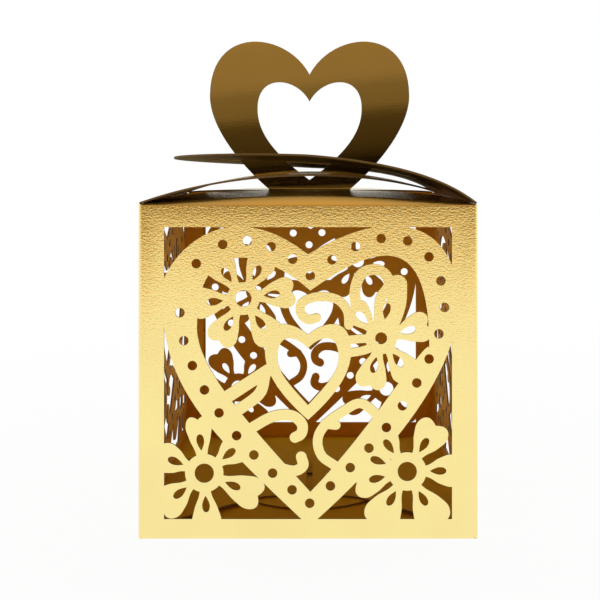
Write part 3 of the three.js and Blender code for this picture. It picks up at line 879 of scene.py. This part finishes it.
def standing_card(distance, foot, top):
    """An upright card in front of the box."""
    bm = bmesh.new()
    bmesh.ops.create_grid(bm, x_segments=1, y_segments=1, size=0.5)
    bm.transform(Matrix.Translation((0, -distance, (foot + top) / 2)) @ STAND_UP
                 @ Matrix.Diagonal((CARDS_WIDTH, top - foot, 1, 1)))
    return bm


def glowing_object(name, bm, strength):
    """An object that only glows and that the camera doesn't see, with its tree and its shader."""
    thing = as_object(name, bm)
    material, tree, shader = new_material(name)
    shader.inputs["Base Color"].default_value = (0, 0, 0, 1)
    shader.inputs["Specular IOR Level"].default_value = 0
    shader.inputs["Emission Strength"].default_value = strength
    thing.data.materials.append(material)
    thing.visible_camera = False
    return thing, tree, shader


def brown_flag(stage):
    """The flag that the hearts mirror, with a hood over the box and its colours in slanted bands."""
    bm = standing_card(stage.flag_distance, stage.flag_foot, FLAG_TOP)
    top = [edge for edge in bm.edges if all(v.co.z > FLAG_TOP - 0.1 for v in edge.verts)]
    hood = bmesh.ops.extrude_edge_only(bm, edges=top)["geom"]
    bmesh.ops.translate(bm, verts=[v for v in hood if isinstance(v, bmesh.types.BMVert)],
                        vec=(0, stage.flag_distance + HOOD_BACK, 0))
    flag, tree, shader = glowing_object("brown_flag", bm, BROWN_GLOW)
    slant = node(tree, "ShaderNodeMapping", Rotation=(0, FLAG_SLANT, 0))
    height = tree.nodes.new("ShaderNodeSeparateXYZ")
    tree.links.new(object_coords(tree), slant.inputs["Vector"])
    tree.links.new(slant.outputs["Vector"], height.inputs["Vector"])
    tree.links.new(ramp(tree, height.outputs["Z"], BROWNS), shader.inputs["Emission Color"])
    return flag


def amber_strip(stage):
    """The strip under the flag, which the walls mirror near their tops."""
    bm = standing_card(stage.flag_distance, stage.strip_foot, stage.flag_foot)
    strip, _, shader = glowing_object("amber_strip", bm, AMBER_GLOW)
    shader.inputs["Emission Color"].default_value = AMBER
    return strip


def studio_world(sky):
    """Even light from all round, and plain white for what the camera sees."""
    world = bpy.data.worlds.new("studio")
    world.use_nodes = True
    tree = world.node_tree
    light = tree.nodes["Background"]
    light.inputs["Color"].default_value = (1, 1, 1, 1)
    light.inputs["Strength"].default_value = sky
    white = node(tree, "ShaderNodeBackground", Color=(1, 1, 1, 1), Strength=1)
    mix = tree.nodes.new("ShaderNodeMixShader")
    tree.links.new(seen_share(tree), mix.inputs["Fac"])
    tree.links.new(light.outputs["Background"], mix.inputs[1])
    tree.links.new(white.outputs["Background"], mix.inputs[2])
    tree.links.new(mix.outputs["Shader"], tree.nodes["World Output"].inputs["Surface"])
    return world


def overhead_softbox(power):
    lamp = bpy.data.lights.new("softbox", "AREA")
    lamp.shape = "RECTANGLE"
    lamp.size, lamp.size_y = SOFTBOX_SIZE
    lamp.energy = power
    softbox = bpy.data.objects.new("softbox", lamp)
    softbox.location = SOFTBOX_PLACE
    return softbox


def front_camera(stage):
    camera = bpy.data.objects.new("camera", bpy.data.cameras.new("camera"))
    camera.location = stage.eye
    camera.rotation_euler = (math.pi / 2, 0, 0)
    camera.data.lens = stage.lens
    camera.data.shift_x, camera.data.shift_y = VIEW_SHIFT
    camera.data.clip_start = 0.01
    return camera


# Operators

class PAPERBOX_OT_walls(bpy.types.Operator):
    """Make the four lattice walls with their corner bends"""
    bl_idname = "paperbox.walls"
    bl_label = "Lattice walls"

    def execute(self, context):
        card = context.scene.paper_box_card
        bend, crease = card.corner_radius / MM, card.crease_radius / MM
        end = HALF_WIDTH - bend
        low, high = crease, WALL_HEIGHT - crease
        pierced = lattice_sheet(end, low, high, context.scene.paper_box_lattice)
        tab_bend_start = node_box("glue_tab")[1].y - bend
        for quarter, side in enumerate(("front", "right", "back", "left")):
            bm = pierced.copy()
            roll_edge(bm, lambda p: p.y > high - NEAR, (0, high, -crease), (1, 0, 0), -TOP_TURN[side],
                      CREASE_STEPS)
            roll_edge(bm, lambda p: p.y < low + NEAR, (0, low, -crease), (1, 0, 0), BOTTOM_TURN[side],
                      CREASE_STEPS)
            if side != "back":
                roll_edge(bm, lambda p: p.x > end - NEAR, (end, 0, -bend), (0, 1, 0), 90, CORNER_STEPS)
            for v in bm.verts:
                if side == "back" and v.co.x > end - NEAR:
                    v.co.x = HALF_WIDTH - SEAM_SHORT
                elif v.co.x > end + NEAR and v.co.y < low + NEAR:
                    v.co.y = CORNER_SHORT
                elif v.co.x > end + NEAR and v.co.y > high - NEAR:
                    v.co.y = WALL_HEIGHT - CORNER_SHORT
                if side == "left" and v.co.x < -end + NEAR:
                    v.co.x = -tab_bend_start
            # Their inner faces take the inside colour, which is painted shade of the interior
            card_piece(f"{side}_lattice", bm, "carton", [f"{side}_wall"], upright(quarter, HALF_WIDTH),
                       finishes(context.scene, (2, 2, 1)), card)
        pierced.free()
        return {"FINISHED"}


class PAPERBOX_OT_seam(bpy.types.Operator):
    """Make the glue tab of the rear left corner and finish its adhesive"""
    bl_idname = "paperbox.seam"
    bl_label = "Glued seam"

    def execute(self, context):
        card = context.scene.paper_box_card
        bend = card.corner_radius / MM
        low, high = node_box("glue_tab")
        near, far = -high.x, HALF_WIDTH - bend
        bm = sheet([corner(near, low.z + TAB_SLANT), corner(far, low.z), corner(far, high.z),
                    corner(near, high.z - TAB_SLANT)])
        roll_edge(bm, lambda p: p.x > far - NEAR, (far, 0, -bend), (0, 1, 0), 90, CORNER_STEPS)
        card_piece("seam_tab", bm, "carton", ["glue_tab"], upright(2, high.y),
                   finishes(context.scene, (2, 2, 1)), card)
        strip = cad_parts["adhesive_strip"]
        strip.data.materials.clear()
        strip.data.materials.append(clear_adhesive("clear_adhesive"))
        return {"FINISHED"}


class PAPERBOX_OT_lid(bpy.types.Operator):
    """Make the two inner lid flaps and the heart handles that stand on them"""
    bl_idname = "paperbox.lid"
    bl_label = "Lid flaps and heart handles"

    def execute(self, context):
        scene = context.scene
        card = scene.paper_box_card
        flap_high = node_box("front_lid_flap")[1]
        handle_front = node_box("front_heart_handle")[0].y
        tilt = math.atan(LID_SLOPE)
        hinge = -HALF_DEPTH + card.thickness / MM + LID_HINGE_GAP
        reach = (flap_high.y - hinge) / math.cos(tilt) - LID_END_GAP
        for quarter, side in ((0, "front"), (2, "back")):
            spin = quarter_turns(quarter)
            place = spin @ Matrix.Translation((0, hinge, WALL_HEIGHT)) @ Matrix.Rotation(tilt, 4, "X")
            # The lid flaps' undersides take the painted shade colour
            card_piece(f"{side}_lid_leaf", lid_leaf(flap_high.x, HANDLE_HEART[-1][0], reach), f"{side}_lid",
                       [f"{side}_lid_flap"], place,
                       finishes(scene, (2, 1, 1), depth=0.00002, inner="shaded"), card)
            place = spin @ Matrix.Translation((0, handle_front, WALL_HEIGHT)) @ STAND_UP
            card_piece(f"{side}_heart", heart_handle(), f"{side}_handle", [f"{side}_heart_handle"], place,
                       finishes(scene, (12, 3, 1), depth=0.0000015, gloss=0.045), card)
        return {"FINISHED"}


class PAPERBOX_OT_bows(bpy.types.Operator):
    """Make the two bowed and slotted outer lid flaps"""
    bl_idname = "paperbox.bows"
    bl_label = "Bowed lid flaps"

    def execute(self, context):
        scene = context.scene
        for side, out, quarter, bow, roll in (("right", HALF_WIDTH, 2, OUTER_BOW, OUTER_ROLL),
                                              ("left", -HALF_WIDTH, 0, INNER_BOW, 0)):
            place = Matrix.Translation((out, 0, WALL_HEIGHT)) @ quarter_turns(quarter)
            # The bows' undersides are painted near-black shade
            card_piece(f"{side}_bow", bowed_flap(bow, roll), f"{side}_arch", [f"{side}_arch_flap"], place,
                       finishes(scene, (1, 2, 1), inner="darkest"), scene.paper_box_card, side=0)
        return {"FINISHED"}


class PAPERBOX_OT_bottom(bpy.types.Operator):
    """Make the bottom flaps and the tongue that locks them"""
    bl_idname = "paperbox.bottom"
    bl_label = "Locked bottom"

    def execute(self, context):
        scene = context.scene
        card = scene.paper_box_card
        # The flaps' upper faces, the floor of the box, take the painted shade colour
        along_width = finishes(scene, (2, 1, 1), up="inside", inner="shaded")
        place = Matrix.Translation((0, BOTTOM_HINGE, 0)) @ quarter_turns(2)
        card_piece("back_bottom_leaf", tongued_flap(), "bottom_back", ["bottom_back_flap", "bottom_tongue"],
                   place, along_width, card)

        high = node_box("bottom_front_flap")[1]
        place = Matrix.Translation((0, -BOTTOM_HINGE, high.z))
        card_piece("front_bottom_leaf", slotted_flap(high.y + BOTTOM_HINGE), "bottom_front",
                   ["bottom_front_flap"], place, along_width, card)

        for side, quarter in (("right", 0), ("left", 2)):
            low, high = node_box(f"bottom_{side}_flap")
            hinge, seam = (high.x, low.x) if side == "right" else (-low.x, -high.x)
            place = quarter_turns(quarter) @ Matrix.Translation((0, 0, high.z))
            # Their upper faces take the painted shade colour as well
            card_piece(f"{side}_bottom_leaf", side_flap(hinge, high.y, seam), f"bottom_{side}",
                       [f"bottom_{side}_flap"], place,
                       finishes(scene, (1, 2, 1), up="inside", inner="shaded"), card)
        return {"FINISHED"}


class PAPERBOX_OT_stage(bpy.types.Operator):
    """Set up the floor, the light and the camera"""
    bl_idname = "paperbox.stage"
    bl_label = "Stage"

    def execute(self, context):
        scene = context.scene
        stage = scene.paper_box_stage
        floor = white_floor(stage.shadow_reach)
        flag = brown_flag(stage)
        strip = amber_strip(stage)
        scene.world = studio_world(stage.sky)
        scene.collection.objects.link(overhead_softbox(stage.softbox))
        camera = front_camera(stage)
        scene.collection.objects.link(camera)
        scene.camera = camera
        scene.view_settings.view_transform = "Standard"
        return {"FINISHED"}


class PAPERBOX_PT_panel(bpy.types.Panel):
    """Settings and steps of the paper box"""
    bl_idname = "PAPERBOX_PT_panel"
    bl_label = "Paper Box"
    bl_space_type = "VIEW_3D"
    bl_region_type = "UI"
    bl_category = "Paper Box"

    def draw(self, context):
        for group in GROUPS:
            settings = getattr(context.scene, group)
            for name in settings.bl_rna.properties.keys():
                if name not in ("rna_type", "name"):
                    self.layout.prop(settings, name)
        for step in STEPS:
            self.layout.operator(step.bl_idname)


GROUPS = {
    "paper_box_card": BoxCardSettings,
    "paper_box_colours": BoxColourSettings,
    "paper_box_lattice": BoxLatticeSettings,
    "paper_box_stage": BoxStageSettings,
}
STEPS = (PAPERBOX_OT_walls, PAPERBOX_OT_seam, PAPERBOX_OT_lid, PAPERBOX_OT_bows, PAPERBOX_OT_bottom,
         PAPERBOX_OT_stage)


def register():
    for cls in (*GROUPS.values(), *STEPS, PAPERBOX_PT_panel):
        bpy.utils.register_class(cls)
    for name, cls in GROUPS.items():
        setattr(bpy.types.Scene, name, PointerProperty(type=cls))


def unregister():
    for name in GROUPS:
        delattr(bpy.types.Scene, name)
    for cls in reversed((*GROUPS.values(), *STEPS, PAPERBOX_PT_panel)):
        bpy.utils.unregister_class(cls)


def main():
    register()
    bpy.ops.paperbox.walls()
    bpy.ops.paperbox.seam()
    bpy.ops.paperbox.lid()
    bpy.ops.paperbox.bows()
    bpy.ops.paperbox.bottom()
    bpy.ops.paperbox.stage()


if __name__ == "__main__":
    main()
